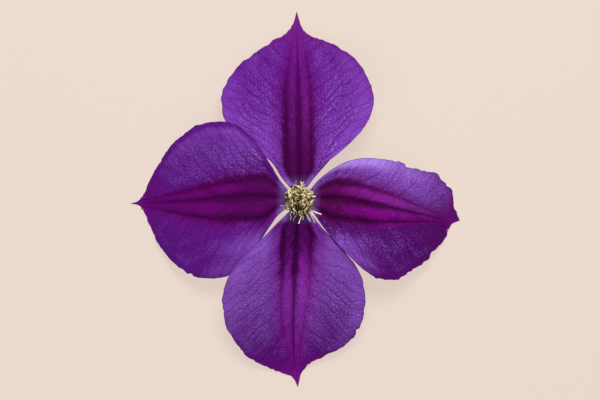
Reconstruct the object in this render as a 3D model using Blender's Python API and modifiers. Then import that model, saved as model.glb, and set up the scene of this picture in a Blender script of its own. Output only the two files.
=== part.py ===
"""One open clematis flower with four tepals, picked with a short stalk and lying face up.

The flower looks up along +Z and rests on its four tips. +Y is the way to the top tepal. The origin is
on the surface, under the middle of the flower's box. Lengths are in metres.
"""

import math
import random

import bmesh
import bpy
import numpy as np

MM = 0.001
GOLDEN_TURN = math.pi * (3.0 - math.sqrt(5.0))  # between one repeat and the next, which spreads them evenly
OBJECT_NAME = "clematis_flower"

# Tepals: the violet blades.
CLAW_HEIGHT = 18.5 * MM  # upper face of the blades where they leave the receptacle
BLADE_THICKNESS = 0.75 * MM
ARCH_POWER = 2.3  # how late a blade bends down: 1 is a straight slope
ARCH_WIDTH_SHARE = 0.4  # how much the distance from the midrib adds to the bend
FLAT_TIP = 5.2 * MM  # length of each tip that flattens out to lie on the surface
TIP_SOFTNESS = 1.0 * MM  # height over which it does so
TWIST = 0.064  # slope across each blade, which lifts its right margin over its neighbour
RIB_DEPTH = 0.42 * MM  # half the height from a groove to the rounded bar beside it
BAND_SHARE = 0.8  # most of a blade's half width that the grooved band takes
BAND_TIP_SHARE = 0.15  # of the band's full width, left at the tip
LOBE_RISE = 0.9 * MM  # how far the smooth part swells between the band and the margin
WAVE_HEIGHT = 0.35 * MM
WAVES_ON_MARGIN = 7.5
BLADE_ROWS = 24
ROW_CROWDING = 1.35  # above 1, rows stand closer towards the tip
BAND_COLUMNS = 3  # on one side: bar, side groove, edge of the band
LOBE_COLUMNS = 4  # on one side, from the band's edge to the margin
WELD_LENGTH = 0.4 * MM  # shorter edges at claw and tip are merged away
PATH_SAMPLES = 600

# Outlines in millimetres, with the tip pointing away: each point gives the distance from the flower's
# axis and the distance to the left. Every line runs from the claw to the tip. The grooved band reaches
# band_half_width to each side of the midrib, and narrows from the share narrows_from of the way to the tip.
TEPALS = {
    "tepal_top": {
        "turn_deg": 90,
        "left": [
            (3.5, 2.4), (7.5, 5.9), (13.0, 9.5), (19.5, 18.2), (27.0, 25.3), (33.5, 26.9), (40.5, 25.4),
            (48.5, 18.9), (54.7, 10.0), (58.0, 4.9), (61.3, 2.2), (65.9, 0.8),
        ],
        "midrib": [(3.5, 0.0), (30.0, 0.2), (65.9, 0.8)],
        "right": [
            (3.5, -2.2), (7.5, -5.2), (13.0, -10.2), (20.0, -18.0), (27.0, -23.7), (33.5, -25.8),
            (41.0, -24.5), (48.5, -20.0), (54.2, -12.0), (57.2, -4.6), (60.6, -0.9), (65.9, 0.8),
        ],
        "band_half_width": 7.0 * MM,
        "narrows_from": 0.5,
        "left_curl": 0.0,
        "wave_turn": 0.4,
        "colour": (0.137, 0.024, 0.258),
    },
    "tepal_left": {
        "turn_deg": 180,
        "left": [
            (3.5, 2.3), (7.4, 5.5), (10.4, 9.8), (13.8, 15.0), (18.3, 21.4), (24.7, 26.3), (31.5, 27.3),
            (36.5, 26.6), (40.5, 24.4), (44.1, 21.5), (49.7, 14.3), (53.3, 6.0), (55.8, 2.0),
            (58.9, 1.2),
        ],
        "midrib": [(3.5, -0.6), (15.0, -1.2), (43.6, 0.6), (58.9, 1.2)],
        "right": [
            (3.5, -3.2), (8.4, -9.3), (12.4, -16.2), (17.2, -22.5), (22.8, -26.5), (29.0, -27.2),
            (35.8, -25.7), (41.4, -21.9), (46.9, -15.6), (51.3, -8.2), (54.2, -2.2), (56.1, 0.3),
            (58.9, 1.2),
        ],
        "band_half_width": 10.5 * MM,
        "narrows_from": 0.2,
        "left_curl": 0.0,
        "wave_turn": 1.7,
        "colour": (0.119, 0.020, 0.229),
    },
    "tepal_bottom": {
        "turn_deg": 270,
        "left": [
            (3.5, 2.9), (6.2, 5.3), (10.5, 8.5), (15.6, 13.4), (22.3, 19.4), (28.0, 22.1), (35.0, 22.9),
            (41.7, 22.2), (47.3, 19.5), (52.6, 12.6), (56.6, 4.6), (60.6, 0.8), (65.3, -0.35),
        ],
        "midrib": [(3.5, -0.3), (25.0, -1.4), (50.4, -1.9), (65.3, -0.35)],
        "right": [
            (3.5, -2.9), (9.0, -8.6), (13.5, -12.9), (18.5, -18.2), (25.0, -23.6), (31.0, -26.1),
            (38.5, -26.5), (44.5, -25.0), (50.3, -21.8), (55.6, -16.3), (59.3, -8.4), (61.8, -2.5),
            (65.3, -0.35),
        ],
        "band_half_width": 7.0 * MM,
        "narrows_from": 0.5,
        "left_curl": 0.0,
        "wave_turn": 2.9,
        "colour": (0.137, 0.024, 0.258),
    },
    "tepal_right": {
        "turn_deg": 0,
        "left": [
            (3.5, 3.0), (6.2, 6.4), (11.5, 10.8), (17.0, 13.6), (23.0, 14.6), (31.0, 13.9), (35.5, 13.0),
            (38.0, 11.2), (43.0, 10.5), (47.8, 8.9), (51.0, 6.1), (53.0, 3.2), (54.0, -1.5), (56.1, -7.2),
        ],
        "midrib": [(3.5, 0.8), (14.0, 0.6), (26.8, -1.7), (49.4, -6.3), (56.1, -7.2)],
        "right": [
            (3.5, -2.4), (6.2, -6.3), (8.7, -9.9), (11.5, -13.1), (17.0, -19.2), (22.8, -24.4),
            (28.5, -27.5), (34.5, -27.5), (38.7, -25.2), (42.3, -22.6), (47.5, -17.6), (51.5, -11.9),
            (53.6, -8.4), (56.1, -7.2),
        ],
        "band_half_width": 10.5 * MM,
        "narrows_from": 0.2,
        "left_curl": 3.0 * MM,
        "wave_turn": 4.4,
        "colour": (0.130, 0.020, 0.240),
    },
}
BLADE_ROUGHNESS = 0.55

# Receptacle and stalk, grown as one. The profile gives radius and height from CLAW_HEIGHT, in
# millimetres, from top to bottom.
RECEPTACLE_PROFILE = [
    (0.0, 2.0), (1.3, 2.0), (1.9, 1.4), (2.1, 0.6), (2.9, 0.2), (3.0, -1.5), (4.4, -1.5), (4.6, -2.1),
    (3.6, -3.4), (2.2, -4.9), (1.35, -7.0), (1.15, -9.0), (0.0, -9.0),
]
RECEPTACLE_SIDES = 24
NECK_START = 8.0 * MM  # below CLAW_HEIGHT, inside the receptacle
STALK_RADIUS = 1.1 * MM
STALK_REACH = 46.0 * MM  # how far the cut end lies from the flower's axis
STALK_SWAY = 2.5 * MM
STALK_COLOUR = (0.145, 0.165, 0.060)
STALK_ROUGHNESS = 0.6

# Stamens: curled filaments on a thick ring round the receptacle.
RING_RADIUS = 3.8 * MM
RING_HALF_WIDTH = 1.25 * MM
RING_HALF_HEIGHT = 0.95 * MM
RING_HEIGHT = 1.6 * MM  # of its middle, above CLAW_HEIGHT
RING_SIDES = 20
FILAMENT_COUNT = 62
FILAMENT_RADIUS = 0.42 * MM
FILAMENT_POINTS = 5
FILAMENT_ROOT = (3.05 * MM, 4.5 * MM)  # from the flower's axis, for the innermost and outermost one
FILAMENT_REACH = (3.0 * MM, 6.6 * MM)  # the same for their ends
FILAMENT_BULGE = (0.0 * MM, 1.8 * MM)  # how far it bows outwards on the way
FILAMENT_SWIRL = 0.9  # most that a filament turns round the axis, in radians
FILAMENT_SEED = 11
TUFT_HEIGHT = 6.6 * MM  # above the ring's middle
TUFT_EDGE = 7.8 * MM  # where the tuft's height would come down to the ring
STRAY_FILAMENTS = [
    (-32, 8.9), (-55, 9.6), (-92, 8.2), (-118, 7.6), (-169, 7.2), (102, 7.2), (140, 7.0), (43, 6.6),
]  # single filaments that lean out: direction in degrees from +X, reach in millimetres
STRAY_LIFT = 2.0 * MM
TUFT_COLOUR = (0.330, 0.265, 0.155)
TUFT_ROUGHNESS = 0.7

# Styles: a small bunch on top of the receptacle.
STYLE_BASE_RADIUS = 1.9 * MM
STYLE_BASE_RISE = 1.6 * MM
STYLE_BASE_FOOT = 2.3 * MM  # above CLAW_HEIGHT, just clear of the receptacle's top
STYLE_COUNT = 17
STYLE_POINTS = 5
STYLE_LENGTH = 6.0 * MM
STYLE_RADIUS = 0.3 * MM
STYLE_SPREAD = 1.95 * MM
STYLE_SEED = 5
STYLE_COLOUR = (0.380, 0.310, 0.190)


def clear_scene():
    for found in list(bpy.data.objects):
        bpy.data.objects.remove(found, do_unlink=True)


def new_collection(name):
    made = bpy.data.collections.new(name)
    bpy.context.scene.collection.children.link(made)
    return made


def new_object(name, data, collection):
    made = bpy.data.objects.new(name, data)
    collection.objects.link(made)
    return made


def give_material(piece, colour, roughness):
    material = bpy.data.materials.new(piece.name)
    material.use_nodes = True
    shader = material.node_tree.nodes["Principled BSDF"]
    shader.inputs["Base Color"].default_value = (*colour, 1.0)
    shader.inputs["Roughness"].default_value = roughness
    shader.inputs["Metallic"].default_value = 0.0
    piece.data.materials.clear()
    piece.data.materials.append(material)


def evaluated_mesh(source):
    """The mesh that an object's modifiers or curve settings make."""
    graph = bpy.context.evaluated_depsgraph_get()
    return bpy.data.meshes.new_from_object(source.evaluated_get(graph))


def plan_shift(tepals):
    """How far the flower's axis stands from the middle of the flower's plan."""
    places = []
    for tepal in tepals.values():
        turn = math.radians(tepal["turn_deg"])
        ahead = np.array([math.cos(turn), math.sin(turn)])
        leftwards = np.array([-math.sin(turn), math.cos(turn)])
        for along, aside in tepal["left"] + tepal["right"]:
            places.append(along * ahead + aside * leftwards)
    places = np.array(places) * MM
    return -(places.min(axis=0) + places.max(axis=0)) / 2


def smooth_path(points):
    """Points evenly spaced along a line that bends smoothly through the given ones."""
    knots = np.array(points) * MM
    places = np.concatenate([[0.0], np.cumsum(np.linalg.norm(np.diff(knots, axis=0), axis=1) ** 0.5)])
    slopes = np.gradient(knots, places, axis=0)
    wanted = np.linspace(0.0, places[-1], PATH_SAMPLES)
    span = np.clip(np.searchsorted(places, wanted, side="right") - 1, 0, len(knots) - 2)
    width = (places[span + 1] - places[span])[:, None]
    t = (wanted - places[span])[:, None] / width
    line = (1 + 2 * t) * (1 - t) ** 2 * knots[span] + t * (1 - t) ** 2 * width * slopes[span]
    line += t**2 * (3 - 2 * t) * knots[span + 1] + t**2 * (t - 1) * width * slopes[span + 1]
    length = np.concatenate([[0.0], np.cumsum(np.linalg.norm(np.diff(line, axis=0), axis=1))])
    even = np.linspace(0.0, length[-1], PATH_SAMPLES)
    return np.column_stack([np.interp(even, length, line[:, 0]), np.interp(even, length, line[:, 1])])


def at_share(path, share):
    place = share * (len(path) - 1)
    first = min(int(place), len(path) - 2)
    return path[first] + (path[first + 1] - path[first]) * (place - first)


def smooth_step(low, high, value):
    t = min(max((value - low) / (high - low), 0.0), 1.0)
    return t * t * (3.0 - 2.0 * t)


def soft_floor(value, softness):
    """The value where it is well above 0, and 0 where it is well below, with a smooth change between."""
    if abs(value) >= softness:
        return max(value, 0.0)
    return (value + softness) ** 2 / (4.0 * softness)


def rib_height(share):
    """Height over the grooved band, from -1 to 1: a groove, a rounded bar, a groove, then level."""
    side_groove = 2.0 / BAND_COLUMNS
    if share <= side_groove:
        return -math.cos(2.0 * math.pi * share / side_groove)
    return -0.5 * (1.0 + math.cos(math.pi * (share - side_groove) / (1.0 - side_groove)))


def blade_point(tepal, paths, row, side):
    """A point of the blade's upper face. row runs from 0 at the claw to 1 at the tip, and side from -1
    at the right margin to 1 at the left one."""
    middle = at_share(paths["midrib"], row)
    margin = at_share(paths["left" if side > 0 else "right"], row)
    half_width = np.linalg.norm(margin - middle)
    narrowing = (1.0 - BAND_TIP_SHARE) * smooth_step(tepal["narrows_from"], 1.0, row)
    band = min(tepal["band_half_width"] * (1.0 - narrowing), BAND_SHARE * half_width)
    column = abs(side) * (BAND_COLUMNS + LOBE_COLUMNS)
    if column <= BAND_COLUMNS:
        distance = band * column / BAND_COLUMNS
        relief = RIB_DEPTH * rib_height(column / BAND_COLUMNS)
    else:
        lobe = (column - BAND_COLUMNS) / LOBE_COLUMNS
        distance = band + (half_width - band) * lobe
        relief = LOBE_RISE * math.sin(math.pi * lobe) + WAVE_HEIGHT * lobe**2 * math.sin(
            2.0 * math.pi * WAVES_ON_MARGIN * row + tepal["wave_turn"] + side
        )
        if side > 0:
            relief -= tepal["left_curl"] * lobe**2
    relief *= smooth_step(-0.04, 0.14, row) * (1.0 - smooth_step(0.6, 0.97, row))
    along, aside = middle + (margin - middle) * distance / half_width if half_width > 0 else middle
    tip_reach = np.linalg.norm(paths["midrib"][-1]) - FLAT_TIP
    bend = (math.sqrt(along**2 + ARCH_WIDTH_SHARE * aside**2) / tip_reach) ** ARCH_POWER
    lift = (CLAW_HEIGHT - BLADE_THICKNESS) * (1.0 - bend) - TWIST * aside + relief
    return along, aside, BLADE_THICKNESS + soft_floor(lift, TIP_SOFTNESS)


def make_tepal(name, tepal, collection, shift):
    """A grid shaped into the blade's upper face, thickened downwards. The faces are split into triangles
    first, so that both faces of the blade have the same ones."""
    paths = {line: smooth_path(tepal[line]) for line in ("left", "midrib", "right")}
    shape = bmesh.new()
    bmesh.ops.create_grid(
        shape, x_segments=2 * (BAND_COLUMNS + LOBE_COLUMNS), y_segments=BLADE_ROWS, size=1.0
    )
    for point in shape.verts:
        row = 1.0 - ((1.0 - point.co.y) / 2.0) ** ROW_CROWDING
        point.co = blade_point(tepal, paths, row, -point.co.x)
    bmesh.ops.remove_doubles(shape, verts=shape.verts, dist=WELD_LENGTH)
    bmesh.ops.triangulate(shape, faces=shape.faces, quad_method="SHORT_EDGE")
    mesh = bpy.data.meshes.new(name)
    shape.to_mesh(mesh)
    shape.free()
    mesh.shade_smooth()
    piece = new_object(name, mesh, collection)
    piece.location = (shift[0], shift[1], 0.0)
    piece.rotation_euler = (0.0, 0.0, math.radians(tepal["turn_deg"]))
    solidify = piece.modifiers.new("thickness", "SOLIDIFY")
    solidify.thickness = BLADE_THICKNESS
    solidify.offset = -1.0
    give_material(piece, tepal["colour"], BLADE_ROUGHNESS)
    return piece


def turned_piece(name, profile, sides, collection):
    """A solid of revolution round the flower's axis. The profile runs from top to bottom."""
    mesh = bpy.data.meshes.new(name)
    mesh.from_pydata([(radius, 0.0, height) for radius, height in profile],
                     [(i, i + 1) for i in range(len(profile) - 1)], [])
    piece = new_object(name, mesh, collection)
    screw = piece.modifiers.new("turn", "SCREW")
    screw.steps = sides
    screw.render_steps = sides
    screw.use_merge_vertices = True
    screw.merge_threshold = 0.01 * MM
    screw.use_smooth_shade = True
    return piece


def tube(name, points, radius, end_share, collection):
    """A slim tube through the points, closed at both ends, which narrows to end_share of its radius."""
    curve = bpy.data.curves.new(name, "CURVE")
    curve.dimensions = "3D"
    curve.bevel_depth = radius
    curve.bevel_resolution = 0
    curve.use_fill_caps = True
    spline = curve.splines.new("POLY")
    spline.points.add(len(points) - 1)
    for i, place in enumerate(points):
        spline.points[i].co = (*place, 1.0)
        spline.points[i].radius = 1.0 + (end_share - 1.0) * i / (len(points) - 1)
    return new_object(name, curve, collection)


def as_mesh(source, collection):
    """The source turned into a plain mesh object of the same name, in its place, with its caps welded on."""
    name = source.name
    mesh = evaluated_mesh(source)
    shape = bmesh.new()
    shape.from_mesh(mesh)
    bmesh.ops.remove_doubles(shape, verts=shape.verts, dist=0.01 * MM)
    shape.to_mesh(mesh)
    shape.free()
    matrix = source.matrix_world.copy()
    bpy.data.objects.remove(source, do_unlink=True)
    made = new_object(name, mesh, collection)
    made.matrix_world = matrix
    return made


def keep_outer_skin(mesh):
    """Fills any hollow that a union has sealed and drops loose scraps: only the largest skin stays."""
    shape = bmesh.new()
    shape.from_mesh(mesh)
    left = set(shape.faces)
    skins = []
    while left:
        skin = {left.pop()}
        edge = list(skin)
        while edge:
            near = {other for side in edge.pop().edges for other in side.link_faces if other in left}
            left -= near
            skin |= near
            edge += near
        skins.append(skin)
    largest = max(skins, key=len)
    bmesh.ops.delete(shape, geom=[face for face in shape.faces if face not in largest], context="FACES")
    shape.to_mesh(mesh)
    shape.free()


def join_all(piece, repeats):
    """Unites every object of the collection repeats with the piece, then removes them."""
    union = piece.modifiers.new("union", "BOOLEAN")
    union.operation = "UNION"
    union.operand_type = "COLLECTION"
    union.collection = repeats
    union.solver = "MANIFOLD"
    mesh = evaluated_mesh(piece)
    keep_outer_skin(mesh)
    piece.modifiers.clear()
    piece.data = mesh
    for found in list(repeats.objects):
        bpy.data.objects.remove(found, do_unlink=True)
    bpy.data.collections.remove(repeats)


def make_stalk(collection, shift):
    head = turned_piece(
        "stalk", [(radius * MM, CLAW_HEIGHT + height * MM) for radius, height in RECEPTACLE_PROFILE],
        RECEPTACLE_SIDES, collection,
    )
    helpers = new_collection("stalk_parts")
    start = CLAW_HEIGHT - NECK_START
    turn = start - STALK_RADIUS
    curve = bpy.data.curves.new("stalk_tube", "CURVE")
    curve.dimensions = "3D"
    curve.bevel_depth = STALK_RADIUS
    curve.bevel_resolution = 2
    curve.resolution_u = 8
    curve.use_fill_caps = True
    spline = curve.splines.new("BEZIER")
    spline.bezier_points.add(3)
    route = [
        ((0.0, 0.0, start), (0.0, 0.0, -0.55 * turn)),
        ((0.0, -turn, STALK_RADIUS), (0.0, -0.55 * turn, 0.0)),
        ((STALK_SWAY, -0.5 * (turn + STALK_REACH), STALK_RADIUS), (0.0, -0.3 * STALK_REACH, 0.0)),
        ((0.0, -STALK_REACH, STALK_RADIUS), (-0.1 * STALK_SWAY, -0.1 * STALK_REACH, 0.0)),
    ]
    for knot, (place, lead) in zip(spline.bezier_points, route):
        knot.co = place
        knot.handle_left_type = "FREE"
        knot.handle_right_type = "FREE"
        knot.handle_left = [place[i] - lead[i] * 0.6 for i in range(3)]
        knot.handle_right = [place[i] + lead[i] * 0.6 for i in range(3)]
    as_mesh(new_object("stalk_tube", curve, helpers), helpers)
    head = as_mesh(head, collection)
    join_all(head, helpers)
    head.location = (shift[0], shift[1], 0.0)
    give_material(head, STALK_COLOUR, STALK_ROUGHNESS)
    return head


def filament_points(direction, root, reach, bulge, lift, swirl):
    """A filament's route: up from the ring, bowed outwards, and over to its end."""
    points = []
    for i in range(FILAMENT_POINTS):
        share = i / (FILAMENT_POINTS - 1)
        turn = direction + swirl * share**1.5
        radius = root + (reach - root) * share + bulge * math.sin(math.pi * share)
        height = CLAW_HEIGHT + RING_HEIGHT + lift * math.sin(0.65 * math.pi * share)
        points.append((radius * math.cos(turn), radius * math.sin(turn), height))
    return points


def make_stamens(collection, shift):
    profile = [
        (RING_RADIUS + RING_HALF_WIDTH * math.cos(turn),
         CLAW_HEIGHT + RING_HEIGHT + RING_HALF_HEIGHT * math.sin(turn))
        for turn in np.linspace(0.5 * math.pi, -1.5 * math.pi, 9)
    ]
    ring = as_mesh(turned_piece("stamens", profile, RING_SIDES, collection), collection)
    filaments = new_collection("filaments")
    draw = random.Random(FILAMENT_SEED)
    for i in range(FILAMENT_COUNT):
        share = (i + 0.5) / FILAMENT_COUNT
        root = FILAMENT_ROOT[0] + (FILAMENT_ROOT[1] - FILAMENT_ROOT[0]) * share
        reach = math.sqrt(FILAMENT_REACH[0] ** 2 * (1.0 - share) + FILAMENT_REACH[1] ** 2 * share)
        lift = TUFT_HEIGHT * math.sqrt(1.0 - (reach / TUFT_EDGE) ** 2) * draw.uniform(0.8, 1.0)
        bulge = draw.uniform(*FILAMENT_BULGE)
        swirl = draw.uniform(-FILAMENT_SWIRL, FILAMENT_SWIRL)
        points = filament_points(i * GOLDEN_TURN, root, reach, bulge, lift, swirl)
        as_mesh(tube(f"filament_{i}", points, FILAMENT_RADIUS, 0.6, filaments), filaments)
    for i, (direction_deg, reach_mm) in enumerate(STRAY_FILAMENTS):
        points = filament_points(
            math.radians(direction_deg), RING_RADIUS, reach_mm * MM, 0.0, STRAY_LIFT, 0.0
        )
        as_mesh(tube(f"stray_{i}", points, FILAMENT_RADIUS, 0.8, filaments), filaments)
    join_all(ring, filaments)
    ring.location = (shift[0], shift[1], 0.0)
    give_material(ring, TUFT_COLOUR, TUFT_ROUGHNESS)
    return ring


def make_styles(collection, shift):
    foot = CLAW_HEIGHT + STYLE_BASE_FOOT
    profile = [(0.0, foot + STYLE_BASE_RISE)]
    for turn in np.linspace(0.35 * math.pi, 0.0, 4):
        profile.append((STYLE_BASE_RADIUS * math.cos(turn), foot + STYLE_BASE_RISE * math.sin(turn)))
    profile.append((0.0, foot))
    base = as_mesh(turned_piece("styles", profile, 12, collection), collection)
    strands = new_collection("strands")
    draw = random.Random(STYLE_SEED)
    for i in range(STYLE_COUNT):
        place = math.sqrt((i + 0.5) / STYLE_COUNT)
        swirl = draw.uniform(-0.6, 0.6)
        length = STYLE_LENGTH * draw.uniform(0.75, 1.0)
        points = []
        for k in range(STYLE_POINTS):
            share = k / (STYLE_POINTS - 1)
            radius = STYLE_SPREAD * place * (0.6 + 0.4 * math.sin(0.6 * math.pi * share))
            turn = i * GOLDEN_TURN + swirl * share
            height = foot + 0.5 * MM + length * share
            points.append((radius * math.cos(turn), radius * math.sin(turn), height))
        as_mesh(tube(f"strand_{i}", points, STYLE_RADIUS, 0.7, strands), strands)
    join_all(base, strands)
    base.location = (shift[0], shift[1], 0.0)
    give_material(base, STYLE_COLOUR, TUFT_ROUGHNESS)
    return base


def main():
    clear_scene()
    flower = new_collection(OBJECT_NAME)
    shift = plan_shift(TEPALS)
    for name, tepal in TEPALS.items():
        make_tepal(name, tepal, flower, shift)
    make_stalk(flower, shift)
    make_stamens(flower, shift)
    make_styles(flower, shift)


main()
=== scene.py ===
# Clematis flower, picked and laid face up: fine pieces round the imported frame.
# Lengths in the dictionaries are in millimetres, and every mesh is in metres.
import math

import bpy
import numpy as np
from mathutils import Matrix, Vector


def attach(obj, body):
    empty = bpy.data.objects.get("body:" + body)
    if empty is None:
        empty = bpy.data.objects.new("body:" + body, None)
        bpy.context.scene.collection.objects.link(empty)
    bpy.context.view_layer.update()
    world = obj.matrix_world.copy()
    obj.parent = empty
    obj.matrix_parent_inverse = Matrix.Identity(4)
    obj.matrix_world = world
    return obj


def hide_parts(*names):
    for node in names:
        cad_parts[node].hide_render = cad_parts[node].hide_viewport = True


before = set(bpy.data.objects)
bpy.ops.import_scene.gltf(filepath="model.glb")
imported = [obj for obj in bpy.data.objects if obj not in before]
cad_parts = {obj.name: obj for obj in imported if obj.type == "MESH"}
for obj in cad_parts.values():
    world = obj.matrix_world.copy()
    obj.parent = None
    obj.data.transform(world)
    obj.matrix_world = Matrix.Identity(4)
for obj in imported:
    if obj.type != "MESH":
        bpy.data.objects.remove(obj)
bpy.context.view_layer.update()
mm = 0.001
goldenTurn = math.pi * (3.0 - math.sqrt(5.0))
print("frame loaded:", ", ".join(sorted(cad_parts)))


def tint(red, green, blue):  # a screen colour, 0 to 255, as the linear colour a shader wants
    linear = [c / 12.92 if c <= 0.04045 else ((c + 0.055) / 1.055) ** 2.4
              for c in (red / 255, green / 255, blue / 255)]
    return (*linear, 1.0)


def spoken(key):  # a dictionary's netLength is the socket Net Length
    return "".join(" " + letter if letter.isupper() else letter for letter in key).title()


def feed(node, values):  # an input is linked to another node's result, or set to a plain value
    for key, value in values.items():
        if isinstance(value, bpy.types.NodeSocket):
            node.id_data.links.new(value, node.inputs[key])
        else:
            node.inputs[key].default_value = value


def addNode(kind, values=None, tree=None, **settings):  # in the given tree, or the one its values are in
    values = values or {}
    tree = tree or next(value.id_data for value in values.values() if isinstance(value, bpy.types.NodeSocket))
    node = tree.nodes.new(kind)
    for name, value in settings.items():
        setattr(node, name, value)
    feed(node, values)
    return node


def resultOf(kind, values=None, tree=None, **settings):  # a new node's first output
    return addNode(kind, values, tree, **settings).outputs[0]


def geoNode(kind, values=None, tree=None, **settings):
    return resultOf("GeometryNode" + kind, values, tree, **settings)


def maths(operation, *values, clamp=False):
    return resultOf("ShaderNodeMath", dict(enumerate(values)), operation=operation, use_clamp=clamp)


def total(*values, clamp=False):  # only the last sum is clamped
    result = values[0]
    for value in values[1:-1]:
        result = maths("ADD", result, value)
    return maths("ADD", result, values[-1], clamp=clamp)


def product(*values):
    result = values[0]
    for value in values[1:]:
        result = maths("MULTIPLY", result, value)
    return result


def less(value, taken):
    return maths("SUBTRACT", value, taken)


def centred(value, amount):  # a value from 0 to 1 as one on both sides of nothing
    return product(less(value, 0.5), amount)


def vectorMath(operation, *values):
    return resultOf("ShaderNodeVectorMath", dict(enumerate(values)), operation=operation)


def scaled(vector, amount):
    return resultOf("ShaderNodeVectorMath", {0: vector, 3: amount}, operation="SCALE")


def ramp(value, low, high, start=0, end=1):  # start below low, end above high, smooth between them
    values = {0: value, 1: low, 2: high, 3: start, 4: end}
    return resultOf("ShaderNodeMapRange", values, interpolation_type="SMOOTHSTEP")


def fading(value, low, high, start=1):
    return ramp(value, low, high, start, 0)


def mixed(factor, first, second, blend="MIX"):
    values = {0: factor, 6: first, 7: second}
    return addNode("ShaderNodeMix", values, data_type="RGBA", blend_type=blend).outputs[2]


def split(vector):
    return addNode("ShaderNodeSeparateXYZ", {0: vector}).outputs


def join(x, y, z):
    return resultOf("ShaderNodeCombineXYZ", {0: x, 1: y, 2: z})


def noiseOn(vector, scale, detail=2, roughness=0.5, output=0):
    values = {"Vector": vector, "Scale": scale, "Detail": detail, "Roughness": roughness}
    return addNode("ShaderNodeTexNoise", values).outputs[output]


def stretchedNoise(vector, stretch, detail=1, roughness=0.5):
    return noiseOn(vectorMath("MULTIPLY", vector, stretch), 1, detail, roughness)


def driftOn(vector, scale, detail=2, roughness=0.5):  # a soft random shift in every direction
    return vectorMath("SUBTRACT", noiseOn(vector, scale, detail, roughness, "Color"), (0.5, 0.5, 0.5))


def storedOn(tree, name, kind="FLOAT_VECTOR"):  # what a mesh or curve stores under this name
    return geoNode("InputNamedAttribute", {"Name": name}, tree, data_type=kind)


def attributeOf(tree, name, output="Vector"):  # the same, read by a material
    return addNode("ShaderNodeAttribute", tree=tree, attribute_name=name).outputs[output]


def objectPlace(tree):
    return addNode("ShaderNodeTexCoord", tree=tree).outputs["Object"]


def newTree(kind, name, inputs, outputs):  # sockets listed by kind; gives the tree, its inputs and its end
    tree = bpy.data.node_groups.new(name, kind)
    for inOut, sockets in (("INPUT", inputs), ("OUTPUT", outputs)):
        for socketKind, labels in sockets.items():
            for label in labels:
                tree.interface.new_socket(label, in_out=inOut, socket_type="NodeSocket" + socketKind)
    return tree, tree.nodes.new("NodeGroupInput").outputs, tree.nodes.new("NodeGroupOutput")


def newGeometryTree(name, **sockets):
    sockets = {"Geometry": ["Geometry"], "Material": ["Material"], **sockets}
    return newTree("GeometryNodeTree", name, sockets, {"Geometry": ["Geometry"]})


def endTree(end, geometry, material):  # real meshes only, with their material
    real = geoNode("RealizeInstances", {"Geometry": geometry})
    feed(end, {0: geoNode("SetMaterial", {"Geometry": real, "Material": material})})
    return end.id_data


def newMaterial(name, constants):  # constants go on the shader's own sockets
    material = bpy.data.materials.new(name)
    material.use_nodes = True
    shader = material.node_tree.nodes["Principled BSDF"]
    feed(shader, constants)
    return material, material.node_tree, shader


def dressShader(shader, colour, roughness, relief, depth):
    bump = addNode("ShaderNodeBump", {"Height": relief, "Distance": depth * mm, "Strength": 1})
    feed(shader, {"Base Color": colour, "Roughness": roughness, "Normal": bump.outputs["Normal"]})


def newPiece(name, mesh):
    piece = bpy.data.objects.new(name, mesh)
    bpy.context.scene.collection.objects.link(piece)
    return piece


def meshFrom(name, points, faces=()):  # points in mm
    mesh = bpy.data.meshes.new(name)
    mesh.from_pydata((np.asarray(points, float) * mm).tolist(), [], faces)
    mesh.update()
    return mesh


def gridFaces(rows, count, closed=False):  # the faces between rows of so many points, or rings if closed
    here = np.arange(count if closed else count - 1)
    after = (here + 1) % count
    first = np.arange(rows - 1)[:, None] * count
    corners = [first + here, first + count + here, first + count + after, first + after]
    return np.stack(corners, axis=2).reshape(-1, 4).tolist()


def storeVectors(mesh, name, values):
    layer = mesh.attributes.new(name, "FLOAT_VECTOR", "POINT")
    layer.data.foreach_set("vector", np.asarray(values, np.float32).ravel())


def addTree(piece, tree, values):  # puts the tree on the piece, with its inputs set by their identifiers
    modifier = piece.modifiers.new(tree.name, "NODES")
    modifier.node_group = tree
    named = {spoken(key): value for key, value in values.items()}
    for socket in tree.interface.items_tree:
        if socket.in_out == "INPUT" and socket.name in named:
            modifier[socket.identifier] = named[socket.name]


def addWeld(piece, distance):
    weld = piece.modifiers.new("weld", "WELD")
    weld.merge_threshold = distance * mm


def bakeModifiers(piece):  # the evaluated result as a plain mesh, with no modifier left
    graph = bpy.context.evaluated_depsgraph_get()
    result = piece.evaluated_get(graph)
    mesh = bpy.data.meshes.new_from_object(result, preserve_all_data_layers=True, depsgraph=graph)
    piece.modifiers.clear()
    old = piece.data
    piece.data = mesh
    mesh.name = piece.name
    bpy.data.meshes.remove(old)
    return mesh


def finishPiece(piece, slot, *nodes):
    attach(piece, "root")
    if nodes:
        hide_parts(*nodes)
    piece.data.calc_loop_triangles()
    print(f"{piece.name}: {len(piece.data.loop_triangles)} triangles")


def runLength(line, power=1):  # how far along a line each of its points lies
    steps = np.linalg.norm(np.diff(line, axis=0), axis=1) ** power
    return np.concatenate([[0], np.cumsum(steps)])


def placesAt(line, lengths, wanted):
    return np.column_stack([np.interp(wanted, lengths, values) for values in line.T])


def evenLine(line, samples):  # the same line with its points at even distances
    length = runLength(line)
    return placesAt(line, length, np.linspace(0, length[-1], samples))


def alongPath(path, shares):
    return placesAt(path, np.linspace(0, 1, len(path)), shares)


def headings(line):  # the direction of the line at each of its points
    ahead = np.gradient(line, axis=0)
    return ahead / np.linalg.norm(ahead, axis=1)[:, None]


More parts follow.
